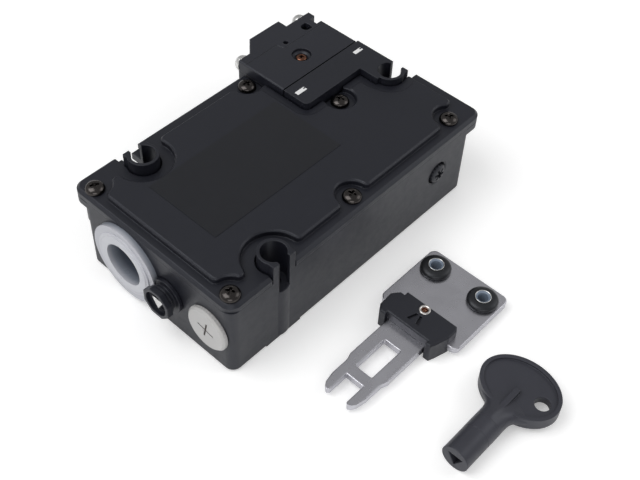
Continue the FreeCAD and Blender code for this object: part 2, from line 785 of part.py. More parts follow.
def lock_bracket():
    """Plate across the plunger and bolt, and the bar back to the release spindle."""
    z0 = bolt_z - bolt_h / 2
    plate = box(bracket_x, bracket_x + bracket_thk, bar_y, bolt_y + bolt_width / 2, z0, solenoid_z + 5)
    plate = plate.cut(rod(2.05, (bracket_x - 1, solenoid_y, solenoid_z),
                          (bracket_x + bracket_thk + 1, solenoid_y, solenoid_z)))
    front = rib_x + rib_thk / 2 + fork_clear
    rear = rib_x - rib_thk / 2 - fork_clear
    bar = box(rear - fork_thk, bracket_x, bar_y, bar_y + bar_thk, z0, z0 + bar_h)
    upright = box(rear - fork_thk, front + fork_thk, bar_y, bar_y + bar_thk, z0, entry_z + 1.6)
    prong_y = release_y + drum_r + 0.6
    front_prong = box(front, front + fork_thk, prong_y, bar_y + 0.5, entry_z - 0.8, entry_z + 0.8)
    rear_prong = box(rear - fork_thk, rear, prong_y, bar_y + 0.5, entry_z - 0.8, entry_z + 0.8)
    return fuse([plate, bar, upright, front_prong, rear_prong])


def solenoid_plunger():
    z = solenoid_z
    y = solenoid_y
    end = bracket_x + bracket_thk
    body = rod(plunger_r, (yoke_x + 14, y, z), (bracket_x, y, z))
    neck = rod(2.0, (bracket_x, y, z), (end, y, z))
    head = rod(3.2, (end, y, z), (end + 1.5, y, z))
    return fuse([body, neck, head])


def yoke_screw_places():
    return [(yoke_x - 2.6, solenoid_y - yoke_size / 2 + foot_half), (yoke_x + yoke_length + 2.4, solenoid_y + 9)]


def solenoid_yoke():
    half = yoke_size / 2
    x1 = yoke_x + yoke_length
    frame = box(yoke_x, x1, solenoid_y - half, solenoid_y + half, solenoid_z - half, solenoid_z + half)
    frame = frame.cut(box(yoke_x + yoke_thk, x1 - yoke_thk, solenoid_y - half - 1, solenoid_y + half + 1,
                          solenoid_z - half + yoke_thk, solenoid_z + half - yoke_thk))
    z0 = solenoid_z - half
    feet = [box(yoke_x - 5.5, yoke_x + 1, solenoid_y - half, solenoid_y - half + 2 * foot_half, z0, z0 + 1.5),
            box(x1 - 1, x1 + 5, solenoid_y + half - 2 * foot_half, solenoid_y + half, z0, z0 + 1.5)]
    frame = fuse([frame] + feet)
    tools = [rod(plunger_r + plunger_clear, (x1 - yoke_thk - 1, solenoid_y, solenoid_z),
                 (x1 + 1, solenoid_y, solenoid_z))]
    tools += [rod(1.5, (x, y, 0), (x, y, 12)) for x, y in yoke_screw_places()]
    return cut(frame, tools).removeSplitter()


def coil_ends():
    return yoke_x + yoke_thk, yoke_x + yoke_length - yoke_thk


def coil_bobbin():
    x0, x1 = coil_ends()
    inner = plunger_r + plunger_clear
    flange_r = yoke_size / 2 - yoke_thk
    y, z = solenoid_y, solenoid_z
    body = rod(inner + bobbin_wall, (x0, y, z), (x1, y, z))
    ends = [rod(flange_r, (x0, y, z), (x0 + bobbin_flange_thk, y, z)),
            rod(flange_r, (x1 - bobbin_flange_thk, y, z), (x1, y, z))]
    return fuse([body] + ends).cut(rod(inner, (x0 - 1, y, z), (x1 + 1, y, z)))


def coil_winding():
    x0, x1 = coil_ends()
    return tube(winding_r, plunger_r + plunger_clear + bobbin_wall,
                (x0 + bobbin_flange_thk, solenoid_y, solenoid_z),
                (x1 - bobbin_flange_thk, solenoid_y, solenoid_z))


def yoke_screws():
    seat = solenoid_z - yoke_size / 2 + 1.5
    return [pan_screw((x, y, seat), (0, 0, 1), 2.4, 1.6, 1.25, yoke_screw_len) for x, y in yoke_screw_places()]


# ---------------------------------------------------------------- manual release
def octagon(flats, x0, x1, y, z):
    r = flats / 2 / math.cos(math.pi / 8)
    ring = [Vector(x0, y + r * math.cos(a), z + r * math.sin(a))
            for a in [math.pi / 8 + math.pi / 4 * i for i in range(8)]]
    return Part.Face(Part.makePolygon(ring + [ring[0]])).extrude(Vector(x1 - x0, 0, 0))


def release_collar():
    y, z = release_y, entry_z
    lip = octagon(collar_flats, x_in - collar_reach, x_in - collar_reach + 2.6, y, z)
    barrel = rod(collar_barrel_r, (x_in - collar_reach + 2.6, y, z), (x_in, y, z))
    neck = rod(collar_neck_r, (x_in, y, z), (x_in + wall + 2.6, y, z))
    body = fuse([lip, barrel, neck])
    body = body.cut(rod(collar_bore_r, (x_in - collar_reach - 1, y, z), (x_in - collar_reach + 2.0, y, z)))
    body = body.cut(rod(collar_cup_r, (x_in - collar_reach - 1, y, z), (x_in - 1.6, y, z)))
    return body.cut(rod(spindle_r + running, (x_in - 3, y, z), (x_in + wall + 3, y, z)))


def collar_nut():
    y, z = release_y, entry_z
    x0 = x_in + wall
    corners = [Vector(x0, y + 8 * math.cos(a), z + 8 * math.sin(a))
               for a in [math.pi / 3 * i for i in range(6)]]
    nut = Part.Face(Part.makePolygon(corners + [corners[0]])).extrude(Vector(2.4, 0, 0))
    return nut.cut(rod(collar_neck_r, (x0 - 1, y, z), (x0 + 4, y, z)))


def release_spindle():
    """Triangular key end, shaft through the collar, and a drum with a helical rib."""
    y, z = release_y, entry_z
    tip = triangle_bar(x_in - collar_reach + 1.0, x_in - 3.4, y, z, triangle_side)
    disc = rod(collar_cup_r - 0.3, (x_in - 3.4, y, z), (x_in - 1.9, y, z))
    shaft = rod(spindle_r, (x_in - 2, y, z), (drum_x, y, z))
    drum = rod(drum_r, (drum_x, y, z), (drum_x + drum_length, y, z))
    turns = (wheel_turn + 2 * rib_spare) / 360
    inner, outer = drum_r - 0.4, rib_r
    corners = [Vector(inner, 0, -rib_thk / 2), Vector(outer, 0, -rib_thk / 2),
               Vector(outer, 0, rib_thk / 2), Vector(inner, 0, rib_thk / 2)]
    rib = helix_sweep(rib_pitch, turns, drum_r, Part.makePolygon(corners + [corners[0]]))
    rib.rotate(Vector(0, 0, 0), Vector(0, 0, 1), 90 - wheel_turn - rib_spare)
    rib.rotate(Vector(0, 0, 0), Vector(0, 1, 0), 90)
    low = rib_x - rib_pitch * (wheel_turn + rib_spare) / 360
    rib.translate(Vector(low, y, z))
    return fuse([tip, disc, shaft, drum, rib])


def spindle_clip():
    y, z = release_y, entry_z
    x0 = x_in + wall + 2.6
    ring = tube(5.0, spindle_r, (x0 + 0.2, y, z), (x0 + 1.0, y, z))
    return ring.cut(box(x0, x0 + 2, y - 1.6, y + 1.6, z - 6, z))


# ---------------------------------------------------------------- contacts
def contact_rod():
    tip = wheel_y - math.sqrt(cam_r_out ** 2 - rod_offset ** 2) - lock_gap
    end = (rod_x, tip - rod_r, rod_z)
    shaft = rod(rod_r, (rod_x, carriage_y0 + carriage_length, rod_z), end)
    nose = Part.makeCone(rod_r, rod_r * 0.4, rod_r, Vector(*end), Vector(0, 1, 0))
    return shaft.fuse(nose).removeSplitter()


def bridge_box(z, grow=0.0):
    half = contact_width / 2 - contact_wall - 0.6
    y = carriage_y0 + 6
    return box(rod_x - half, rod_x + half, y - grow, y + 0.8 + grow, z - 1.5, z + 1.5)


def contact_carriage():
    body = box(rod_x - carriage_half, rod_x + carriage_half, carriage_y0, carriage_y0 + carriage_length,
               floor_z + contact_wall + 0.3, contact_top)
    body = cut(body, [bridge_box(z) for z in bridge_z])
    return body.cut(rod(3.2, (rod_x, carriage_y0 - 1, rod_z), (rod_x, carriage_y0 + 2, rod_z)))


def contact_bridges():
    return [bridge_box(z) for z in bridge_z]


def contact_block():
    half = contact_width / 2
    body = box(rod_x - half, rod_x + half, contact_y0, contact_y1, floor_z, contact_top)
    body = body.cut(box(rod_x - half + contact_wall, rod_x + half - contact_wall,
                        contact_y0 + contact_wall, contact_y1 - contact_wall,
                        floor_z + contact_wall, contact_top + 1))
    return body.cut(rod(rod_r + rod_clear, (rod_x, contact_y1 - 4, rod_z), (rod_x, contact_y1 + 1, rod_z)))


def fixed_contacts():
    """Fixed contacts on both side walls, one stroke ahead of each bridge."""
    half = contact_width / 2 - contact_wall
    y = carriage_y0 + 6.8 + rod_travel + 0.3
    strips = []
    for z in bridge_z:
        for side in (-1, 1):
            inner = rod_x + side * (half - 2.4)
            outer = rod_x + side * half
            lo, hi = min(inner, outer), max(inner, outer)
            strips.append(box(lo, hi, y, y + 1.0, z - 1.5, z + 1.5))
    return strips


def contact_spring():
    seat = contact_y0 + contact_wall
    return spring((rod_x, seat, rod_z), (0, 1, 0), 2.4, 0.35, carriage_y0 + 2 - seat, 4)


def plunger_spring():
    x0 = yoke_x + yoke_length
    return spring((x0, solenoid_y, solenoid_z), (1, 0, 0), 6.2, 0.45, bracket_x - x0, 4)


# ---------------------------------------------------------------- wiring space
def circuit_board():
    return rounded_box(board_x, board_x + board_length, board_y, board_y + board_width,
                       board_z, board_z + board_thk, 1.5)


def terminal_places():
    first = board_x + board_length / 2 - terminal_pitch * (terminals - 1) / 2
    return [(first + terminal_pitch * i, board_y + terminal_ledge + terminal_depth * 0.65) for i in range(terminals)]


def terminal_block():
    """Stepped block with a screw well and a wire entry for each terminal."""
    places = terminal_places()
    x0, x1 = places[0][0] - terminal_pitch / 2, places[-1][0] + terminal_pitch / 2
    y0 = board_y + terminal_ledge
    z0, z1 = terminal_z, terminal_z + terminal_h
    step_z = z0 + terminal_h * 0.65
    body = box(x0, x1, y0, y0 + terminal_depth, z0, z1)
    body = body.cut(box(x0 - 1, x1 + 1, y0 - 1, y0 + terminal_ledge, step_z, z1 + 1))
    r = terminal_screw_r
    for x, y in places:
        body = body.cut(box(x - r, x + r, y - r, y + r, z0 + terminal_h / 2, z1 + 1))
        body = body.cut(box(x - r * 0.75, x + r * 0.75, y0 - 1, y0 + terminal_ledge + 1,
                            z0 + terminal_h * 0.15, z0 + terminal_h * 0.45))
    return body


def terminal_screws():
    low = terminal_z + terminal_h / 2
    return [rod(terminal_screw_r, (x, y, low), (x, y, low + terminal_h * 0.4)) for x, y in terminal_places()]


# ---------------------------------------------------------------- entries
def cable_entry_plug():
    """Transit plug: wide flange with a raised ring, and a deep cup."""
    x0 = x_in - plug_flange_thk
    profile = [(0, plug_flange_thk + plug_depth), (cable_r - 0.35, plug_flange_thk + plug_depth),
               (cable_r - 0.35, plug_flange_thk), (plug_flange_r, plug_flange_thk),
               (plug_flange_r, 0.6), (plug_cup_r + 4.2, 0.6), (plug_cup_r + 3.4, 0), (plug_cup_r, 0),
               (plug_cup_r - 0.6, plug_depth + 1.2), (0, plug_depth + 1.2)]
    plug = revolved(profile, (x0, cable_y, entry_z), (1, 0, 0))
    return plug


def blanking_plug():
    x0 = x_in - blank_head_thk
    profile = [(0, 0), (blank_head_r - 0.8, 0), (blank_head_r, 0.8), (blank_head_r, blank_head_thk), (blank_r - 0.1, blank_head_thk),
               (blank_r - 0.1, blank_head_thk + 9), (0, blank_head_thk + 9)]
    plug = revolved(profile, (x0, blank_y, entry_z), (1, 0, 0))
    cross = cross_recess((x0, blank_y, entry_z), (-1, 0, 0), 4.2, 1.2, 0.9)
    cross.rotate(Vector(x0, blank_y, entry_z), Vector(1, 0, 0), 12)
    return plug.cut(cross)


def side_release_screw():
    seat = (side_screw_x, y_near + side_recess_depth, side_screw_z)
    return pan_screw(seat, (0, -1, 0), side_recess_r - 0.7, 1.9, 2.9, 3.4)


def head_screws():
    return [pan_screw((x, y, z), (0, 1, 0), head_screw_r, head_screw_h, 1.6, head_screw_len) for x, y, z in head_screw_places()]


def head_cover_screw():
    return pan_screw((cover_screw_x(), cover_screw_y(), top_z - cover_screw_depth), (0, 0, 1), 3.1, 1.2, 1.6,
                     cover_thk - cover_screw_depth - 0.1)


def label_patch():
    return box(x_in + label_inset_entry, head_x0 - label_inset_head, y_near + label_inset_near,
               y_far - label_inset_far, panel_z, panel_z + label_thk)


# ---------------------------------------------------------------- loose actuator
def bush_places():
    return [(bush_x, actuator_y - bush_pitch / 2), (bush_x, actuator_y + bush_pitch / 2)]


def tongue_outline():
    """Tongue from above, centred on Y = 0: straight sides, shoulders and rounded prongs."""
    half = tongue_width / 2
    prong = half - 1.0
    width = prong - fork_half
    tip = tongue_tip_x
    upper = [(plate_rear_x - plate_length, half), (shoulder_x, half), (shoulder_x - 2.6, half - 0.9),
             (shoulder_x - 4.4, prong), (tip + 7, prong), (tip + 2.4, prong - width * 0.2),
             (tip + 0.7, prong - width * 0.46), (tip, prong - width * 0.69), (tip, fork_half + width * 0.2),
             (tip + 0.9, fork_half), (tip + fork_depth, fork_half)]
    return upper + [(x, -y) for x, y in reversed(upper)]


def tongue_plate():
    z1 = plate_z + tongue_thk
    x0 = plate_rear_x - plate_length
    plate = rounded_box(x0, plate_rear_x, -plate_span / 2, plate_span / 2, plate_z, z1, plate_corner_r)
    tongue = prism(tongue_outline(), plate_z, z1)
    tongue = tongue.fuse(box(x0, x0 + 2, -tongue_width / 2, tongue_width / 2, plate_z, z1))
    body = fuse([plate, tongue])
    window = rounded_box(window_x, window_x + window_length, -window_half, window_half, 0, 9, 0.7)
    body = body.cut(window)
    body.translate(Vector(0, actuator_y, 0))
    tools = [rod(bush_neck_r, (x, y, 0), (x, y, 9)) for x, y in bush_places()]
    tools.append(rod(eyelet_r, (eyelet_x(), actuator_y, 0), (eyelet_x(), actuator_y, 9)))
    body = cut(body, tools)
    rim = [e for e in body.Edges if e.Length > 4 and abs(e.CenterOfMass.z - z1) < 0.01 and
           e.Curve.TypeId == "Part::GeomLine"]
    return body.makeChamfer(0.25, rim)


def rubber_bushes():
    z1 = plate_z + tongue_thk
    top = z1 + bush_top_h
    profile = [(bush_sleeve_r, 0), (bush_r, 0), (bush_r, plate_z), (bush_neck_r, plate_z),
               (bush_neck_r, z1), (bush_r, z1), (bush_r, z1 + bush_top_h * 0.5), (bush_r - 1.3, top),
               (bush_sleeve_r, top)]
    return [revolved(profile, (x, y, 0), (0, 0, 1)) for x, y in bush_places()]


def bush_sleeves():
    top = plate_z + tongue_thk + bush_top_h + 0.1
    return [tube(bush_sleeve_r, bush_bore_r, (x, y, 0.05), (x, y, top)) for x, y in bush_places()]


def eyelet_x():
    return guide_x0 + guide_length - 2.6


def tongue_guide():
    x1 = guide_x0 + guide_length
    half = guide_span / 2
    inner = tongue_width / 2 + 0.15
    z0, z1 = plate_z, plate_z + tongue_thk
    plan = [(guide_x0, -inner - 0.4), (guide_x0, inner + 0.4), (guide_x0 - guide_ear, inner + 0.4),
            (guide_x0 - guide_ear, half - 2.2), (guide_x0 + 1.2, half - 0.4), (x1 - 5.2, half),
            (x1 - 2.4, half - 2.2), (x1 - 2.0, half - 2.6), (x1 - 2.0, half - 4.6), (x1, half - 4.6),
            (x1, -half + 1.2), (x1 - 1.6, -half), (x1 - 6.4, -half), (guide_x0 + 1.2, -half + 1.6),
            (guide_x0 - guide_ear, -half + 2.6), (guide_x0 - guide_ear, -inner - 0.4)]
    body = prism(plan, 0, guide_top_z)
    top = [e for e in body.Edges if min(v.Z for v in e.Vertexes) > guide_top_z - 0.01]
    body = body.makeChamfer(0.5, top)
    tools = [
        box(guide_x0 - 5, x1 + 1, -inner, inner, z0 - 0.05, z1 + 0.05),
        box(plate_rear_x - plate_length - 0.2, x1 + 1, -half - 1, half + 1, z0 - 0.05, z1 + 0.05),
        rod(eyelet_r, (eyelet_x(), 0, 0), (eyelet_x(), 0, guide_top_z + 1)),
        prism([(guide_x0 + 3.0, 1.6), (eyelet_x() - 3.4, 0.4), (eyelet_x() - 3.4, 1.4), (guide_x0 + 3.0, 2.9)],
              guide_top_z - 1.2, guide_top_z + 1),
        prism([(guide_x0 + 3.0, -1.6), (eyelet_x() - 3.4, -0.4), (eyelet_x() - 3.4, -1.4), (guide_x0 + 3.0, -2.9)],
              guide_top_z - 1.2, guide_top_z + 1),
    ]
    body = cut(body, tools)
    body.translate(Vector(0, actuator_y, 0))
    return body


def guide_eyelet():
    """Hollow rivet through guide and plate."""
    profile = [(eyelet_r - 0.45, 0.1), (eyelet_r, 0.1), (eyelet_r, guide_top_z), (eyelet_flange_r, guide_top_z),
               (eyelet_flange_r - 0.3, guide_top_z + 0.5), (eyelet_r - 0.2, guide_top_z + 0.6),
               (eyelet_r - 0.45, guide_top_z + 0.3)]
    return revolved(profile, (eyelet_x(), actuator_y, 0), (0, 0, 1))


# ---------------------------------------------------------------- loose key
def bow_face(shrink, z):
    """Oval of the bow, drawn in by shrink."""
    a, b = bow_half_x - shrink, bow_half_y - shrink
    centre = Vector(bow_x, key_y, z)
    oval = Part.Ellipse(centre + Vector(0, b, 0), centre + Vector(a, 0, 0), centre)
    return Part.Face(Part.Wire(oval.toShape()))


def release_key():
    axis_z = key_shank_r
    z0 = axis_z - bow_thk / 2
    bow = bow_face(0, z0 - bow_rim_rise).extrude(Vector(0, 0, bow_thk + 2 * bow_rim_rise))
    for side in (-1, 1):
        depth = axis_z + side * (bow_thk / 2)
        hollow = bow_face(bow_rim, depth).extrude(Vector(0, 0, side * 3))
        bow = bow.cut(hollow)
    end = key_x0 + key_shank_length
    shank = rod(key_shank_r, (key_x0, key_y, axis_z), (key_x0 + 19, key_y, axis_z))
    reach = bow_thk / 2 + bow_rim_rise * 0.6
    low, high = axis_z - reach, axis_z + reach
    start, root = key_x0 + 12, key_shank_r * 0.88
    neck = prism([(start, key_y - root), (end, key_y - root - 0.3), (end, key_y + root + 0.3),
                  (start, key_y + root)], low, high)
    rib = box(key_x0 + 17, end + 8, key_y - 1.2, key_y + 1.2, axis_z - 3.6, axis_z + 3.6)
    body = fuse([shank, neck, rib, bow])
    hole = rod(key_hole_r, (bow_x, key_y + key_hole_y, -1), (bow_x, key_y + key_hole_y, 15))
    socket = triangle_bar(key_x0 - 1, key_x0 + key_socket_depth, key_y, axis_z, triangle_side + key_fit)
    return body.cut(hole).cut(socket)


save("base_housing", base_housing())
save("lid", lid())
save("lid_gasket", gasket_ring(joint_z - gasket_thk, joint_z))
save("lid_screws", *lid_screws())
save("head_housing", head_housing())
save("head_cover", head_cover())
save("head_cover_screw", head_cover_screw())
save("head_screws", *head_screws())
save("cam_wheel", cam_wheel())
save("lock_disc", lock_disc())
save("contact_cam", contact_cam())
save("cam_axle", cam_axle())
save("lock_bolt", lock_bolt())
save("lock_bracket", lock_bracket())
save("solenoid_plunger", solenoid_plunger())
save("plunger_spring", plunger_spring())
save("solenoid_yoke", solenoid_yoke())
save("coil_bobbin", coil_bobbin())
save("coil_winding", coil_winding())
save("yoke_screws", *yoke_screws())
save("release_collar", release_collar())
save("collar_nut", collar_nut())
save("release_spindle", release_spindle())
save("spindle_clip", spindle_clip())
save("contact_rod", contact_rod())
save("contact_carriage", contact_carriage())
save("contact_bridges", *contact_bridges())
save("contact_spring", contact_spring())
save("contact_block", contact_block())
save("fixed_contacts", *fixed_contacts())
save("circuit_board", circuit_board())
save("terminal_block", terminal_block())
save("terminal_screws", *terminal_screws())
save("cable_entry_plug", cable_entry_plug())
save("blanking_plug", blanking_plug())
save("side_release_screw", side_release_screw())
save("label_patch", label_patch())
save("tongue_plate", tongue_plate())
save("rubber_bushes", *rubber_bushes())
save("bush_sleeves", *bush_sleeves())
save("tongue_guide", tongue_guide())
save("guide_eyelet", guide_eyelet())
save("release_key", release_key())
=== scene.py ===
import json
import math
import bmesh
import bpy
from mathutils import Matrix, Vector

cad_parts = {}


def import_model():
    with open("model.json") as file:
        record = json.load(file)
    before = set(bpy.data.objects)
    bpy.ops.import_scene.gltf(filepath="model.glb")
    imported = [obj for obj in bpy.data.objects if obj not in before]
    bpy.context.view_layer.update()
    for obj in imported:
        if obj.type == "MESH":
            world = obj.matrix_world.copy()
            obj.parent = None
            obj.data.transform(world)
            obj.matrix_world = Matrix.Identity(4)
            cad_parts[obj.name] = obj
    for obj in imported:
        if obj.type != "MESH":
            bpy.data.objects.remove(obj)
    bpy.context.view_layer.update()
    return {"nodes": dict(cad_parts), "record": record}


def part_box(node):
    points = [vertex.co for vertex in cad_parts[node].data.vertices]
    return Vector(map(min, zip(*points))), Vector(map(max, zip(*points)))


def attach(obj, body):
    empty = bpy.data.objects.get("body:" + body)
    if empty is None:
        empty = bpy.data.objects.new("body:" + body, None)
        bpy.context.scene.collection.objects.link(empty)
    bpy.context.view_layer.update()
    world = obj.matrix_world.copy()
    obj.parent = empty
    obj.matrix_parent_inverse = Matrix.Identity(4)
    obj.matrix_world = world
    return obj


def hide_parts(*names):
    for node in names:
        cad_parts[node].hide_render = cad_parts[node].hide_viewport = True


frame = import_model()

MM = 0.001
NODES = frame["nodes"]
scene = bpy.context.scene


# ------------------------------------------------------------------ places read from the CAD nodes
Y, Z = 1, 2


def centre(name):
    """Middle of a node's box in millimetres, to a tenth, as facets leave round shapes a little short."""
    low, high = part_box(name)
    return tuple(round((a + b) / 2 / MM, 1) for a, b in zip(low, high))


def solid_boxes(name):
    """(lowest corner, highest corner) of each separate solid of a node, in millimetres, by x and then y."""
    bm = bmesh.new()
    bm.from_mesh(NODES[name].data)
    bmesh.ops.remove_doubles(bm, verts=bm.verts, dist=1e-6)
    waiting = set(bm.verts)
    boxes = []
    while waiting:
        solid = [waiting.pop()]
        for vert in solid:
            near = {edge.other_vert(vert) for edge in vert.link_edges} & waiting
            waiting -= near
            solid.extend(near)
        axes = list(zip(*(vert.co for vert in solid)))
        boxes.append((tuple(min(a) / MM for a in axes), tuple(max(a) / MM for a in axes)))
    bm.free()
    return sorted(boxes)


def seats(name, axis, depth, outwards=1):
    """The middle of each solid of a node, at the given depth behind its outer end along the axis."""
    places = []
    for low, high in solid_boxes(name):
        place = [round((a + b) / 2, 1) for a, b in zip(low, high)]
        outer_end = high[axis] if outwards > 0 else low[axis]
        place[axis] = round(outer_end - outwards * depth, 1)
        places.append(tuple(place))
    return places


# ------------------------------------------------------------------ shader helpers
def new_material(name):
    mat = bpy.data.materials.new(name)
    mat.use_nodes = True
    nt = mat.node_tree
    shader = nt.nodes["Principled BSDF"]
    return mat, nt, shader


def node(nt, kind, **values):
    """New shader node; each value sets a property of that name, or else an input."""
    n = nt.nodes.new(kind)
    for key, value in values.items():
        if hasattr(n, key):
            setattr(n, key, value)
        else:
            n.inputs[key].default_value = value
    return n


def coords(nt, stretch=(1, 1, 1)):
    tex = node(nt, "ShaderNodeTexCoord")
    mapping = node(nt, "ShaderNodeMapping")
    mapping.inputs["Scale"].default_value = stretch
    nt.links.new(tex.outputs["Object"], mapping.inputs["Vector"])
    return mapping.outputs["Vector"]


def noise(nt, vector, scale, detail=2.0, rough=0.5):
    n = node(nt, "ShaderNodeTexNoise", Scale=scale, Detail=detail, Roughness=rough)
    nt.links.new(vector, n.inputs["Vector"])
    return n.outputs["Fac"]


def ramp(nt, fac, stops):
    """Maps a 0 to 1 value to colours or greys at the given stops."""
    r = node(nt, "ShaderNodeValToRGB")
    els = r.color_ramp.elements
    while len(els) < len(stops):
        els.new(0.5)
    for el, (pos, value) in zip(els, stops):
        el.position = pos
        el.color = (value, value, value, 1) if isinstance(value, float) else (*value, 1)
    nt.links.new(fac, r.inputs["Fac"])
    return r.outputs["Color"]


def bumped(nt, shader, height, strength, depth, edge):
    """Lays fine relief over the surface and, where edge is a radius, rounds its edges in the shading."""
    bump = node(nt, "ShaderNodeBump", Strength=strength, Distance=depth)
    nt.links.new(height, bump.inputs["Height"])
    if edge:
        bevel = node(nt, "ShaderNodeBevel", samples=6, Radius=edge)
        nt.links.new(bevel.outputs["Normal"], bump.inputs["Normal"])
    nt.links.new(bump.outputs["Normal"], shader.inputs["Normal"])


def shade(colour, factor):
    return tuple(min(1.0, c * factor) for c in colour)


# ------------------------------------------------------------------ kinds of material
GRAIN_DEPTH = 0.08 * MM
MARK_DEPTH = 0.05 * MM


def plastic(name, colour, rough, grain=2600, relief=0.18, edge=0.0006):
    """Moulded plastic: fine eroded grain, slight blotches in colour and sheen."""
    mat, nt, shader = new_material(name)
    v = coords(nt)
    tint = ramp(nt, noise(nt, v, 55, 3), [(0.3, shade(colour, 0.94)), (0.7, shade(colour, 1.06))])
    nt.links.new(tint, shader.inputs["Base Color"])
    sheen = ramp(nt, noise(nt, v, 300, 4, 0.6), [(0.3, rough - 0.04), (0.7, rough + 0.04)])
    nt.links.new(sheen, shader.inputs["Roughness"])
    shader.inputs["Specular Tint"].default_value = (0.9, 0.93, 1.0, 1)
    bumped(nt, shader, noise(nt, v, grain, 2, 0.6), relief, GRAIN_DEPTH, edge)
    return mat


def metal(name, colour, rough, stretch=(1, 1, 1), grain=900, relief=0.15, edge=0.0003, spread=0.1):
    """Metal with fine drawn or tumbled marks along the stretch."""
    mat, nt, shader = new_material(name)
    marks = noise(nt, coords(nt, stretch), grain, 4, 0.65)
    cloud = noise(nt, coords(nt), 120, 3)
    tint = ramp(nt, cloud, [(0.3, shade(colour, 1 - spread)), (0.75, shade(colour, 1 + spread))])
    nt.links.new(tint, shader.inputs["Base Color"])
    shader.inputs["Metallic"].default_value = 1.0
    sheen = ramp(nt, marks, [(0.25, rough - 0.09), (0.75, rough + 0.09)])
    nt.links.new(sheen, shader.inputs["Roughness"])
    bumped(nt, shader, marks, relief, MARK_DEPTH, edge)
    return mat


def wax(name, colour, rough, soak, relief=0.06, edge=0.0003):
    """Milky polyethylene; soak is the share of the light that goes into it and comes out nearby."""
    mat, nt, shader = new_material(name)
    v = coords(nt)
    tint = ramp(nt, noise(nt, v, 90, 3), [(0.3, shade(colour, 0.96)), (0.7, shade(colour, 1.02))])
    nt.links.new(tint, shader.inputs["Base Color"])
    sheen = ramp(nt, noise(nt, v, 70, 2), [(0.3, rough - 0.03), (0.7, rough + 0.03)])
    nt.links.new(sheen, shader.inputs["Roughness"])
    shader.inputs["Subsurface Weight"].default_value = soak
    shader.inputs["Subsurface Radius"].default_value = (1.0, 1.0, 1.0)
    shader.inputs["Subsurface Scale"].default_value = 0.002
    bumped(nt, shader, noise(nt, v, 180, 2), relief, GRAIN_DEPTH, edge)
    return mat


def painted_depth_shade(nt, shader, mouth, depth, stops):
    """Paints shade into a plug's colour by how far in along +X a point lies: stops are (share of the depth,
    colour).
    """
    tex = node(nt, "ShaderNodeTexCoord")
    xyz = node(nt, "ShaderNodeSeparateXYZ")
    nt.links.new(tex.outputs["Object"], xyz.inputs["Vector"])
    share = node(nt, "ShaderNodeMapRange")
    share.inputs["From Min"].default_value = mouth
    share.inputs["From Max"].default_value = mouth + depth
    nt.links.new(xyz.outputs["X"], share.inputs["Value"])
    nt.links.new(ramp(nt, share.outputs["Result"], stops), shader.inputs["Base Color"])


def cup_plastic():
    """Translucent plug: pale at the flange, with painted shade that darkens it down the cup."""
    mat = wax("translucent_plug", (0.4, 0.41, 0.44), 0.3, 0.0, relief=0.01, edge=0)
    nt = mat.node_tree
    shader = nt.nodes["Principled BSDF"]
    shader.inputs["Coat Weight"].default_value = 0.25
    shader.inputs["Coat Roughness"].default_value = 0.2
    mouth = -30.9 * MM
    depth = 14.0 * MM
    # Painted shade: the colour grows darker the further a point lies into the cup.
    painted_depth_shade(nt, shader, mouth, depth,
              [(0.0, (0.54, 0.55, 0.59)), (0.03, (0.47, 0.475, 0.52)), (0.07, (0.41, 0.42, 0.465)),
               (0.18, (0.22, 0.24, 0.28)), (0.4, (0.085, 0.098, 0.125)), (1.0, (0.028, 0.033, 0.046))])
    return mat


# ------------------------------------------------------------------ materials
CASE_BLACK = (0.0078, 0.0083, 0.0132)
COVER_BLACK = (0.0115, 0.0122, 0.018)
KEY_GREY = (0.034, 0.0345, 0.044)
LABEL_BLACK = (0.0062, 0.0064, 0.0085)

SLOT_MATERIALS = {
    "black_plastic": plastic("case_plastic", CASE_BLACK, 0.42),
    "cover_plastic": plastic("head_cover_plastic", COVER_BLACK, 0.4),
    "zinc_steel": metal("zinc_plated_steel", (0.7, 0.7, 0.69), 0.25, grain=1600),
    "dark_screw": metal("dark_nickel_screw", (0.058, 0.053, 0.051), 0.2, grain=2000),
    "stainless": metal("stainless_sheet", (0.55, 0.548, 0.59), 0.27, grain=90, relief=0.025, edge=0.0005,
                       spread=0.05),
    "brass": metal("turned_brass", (0.17, 0.08, 0.052), 0.22, grain=2000),
    "black_rubber": plastic("moulded_rubber", (0.008, 0.0083, 0.0095), 0.38, grain=1500, relief=0.08),
    "white_plastic": wax("natural_polyethylene", (0.5, 0.495, 0.49), 0.36, 0.25),
    "grey_plastic": plastic("grey_moulding", (0.3, 0.31, 0.32), 0.5),
    "key_plastic": plastic("key_moulding", KEY_GREY, 0.42, grain=1200, relief=0.12),
    "copper": metal("enamelled_copper", (0.55, 0.24, 0.1), 0.3, stretch=(1, 60, 60), grain=200),
    "board_green": plastic("solder_mask", (0.03, 0.14, 0.05), 0.25, relief=0.04),
    "silver": metal("silver_plate", (0.85, 0.84, 0.8), 0.2),
    "label": plastic("label_film", LABEL_BLACK, 0.34, grain=3600, relief=0.08, edge=0),
}
CUP = cup_plastic()
# Painted shade: the sleeve bores are coloured dark blue-grey for the shadow inside them.
PAINTED_SHADE_BORE = plastic("shaded_bore", (0.2, 0.245, 0.31), 0.35, relief=0.05, edge=0)
GUIDE = plastic("guide_moulding", (0.0125, 0.013, 0.018), 0.42)
RECESS_SHADOW = plastic("recess_shadow", (0.05, 0.04, 0.035), 0.7, relief=0.1, edge=0)
PALE_METAL = metal("pale_eyelet", (0.72, 0.7, 0.68), 0.3)
WHITE_INK = plastic("white_marking", (0.8, 0.8, 0.8), 0.5, relief=0.1, edge=0)

OWN_MATERIALS = {"cable_entry_plug": CUP, "tongue_guide": GUIDE}

for part in frame["record"]["subparts"]:
    material = OWN_MATERIALS.get(part["node"], SLOT_MATERIALS[part["material_slot"]])
    mesh = NODES[part["node"]].data
    mesh.materials.clear()
    mesh.materials.append(material)
    mesh.polygons.foreach_set("use_smooth", [False] * len(mesh.polygons))


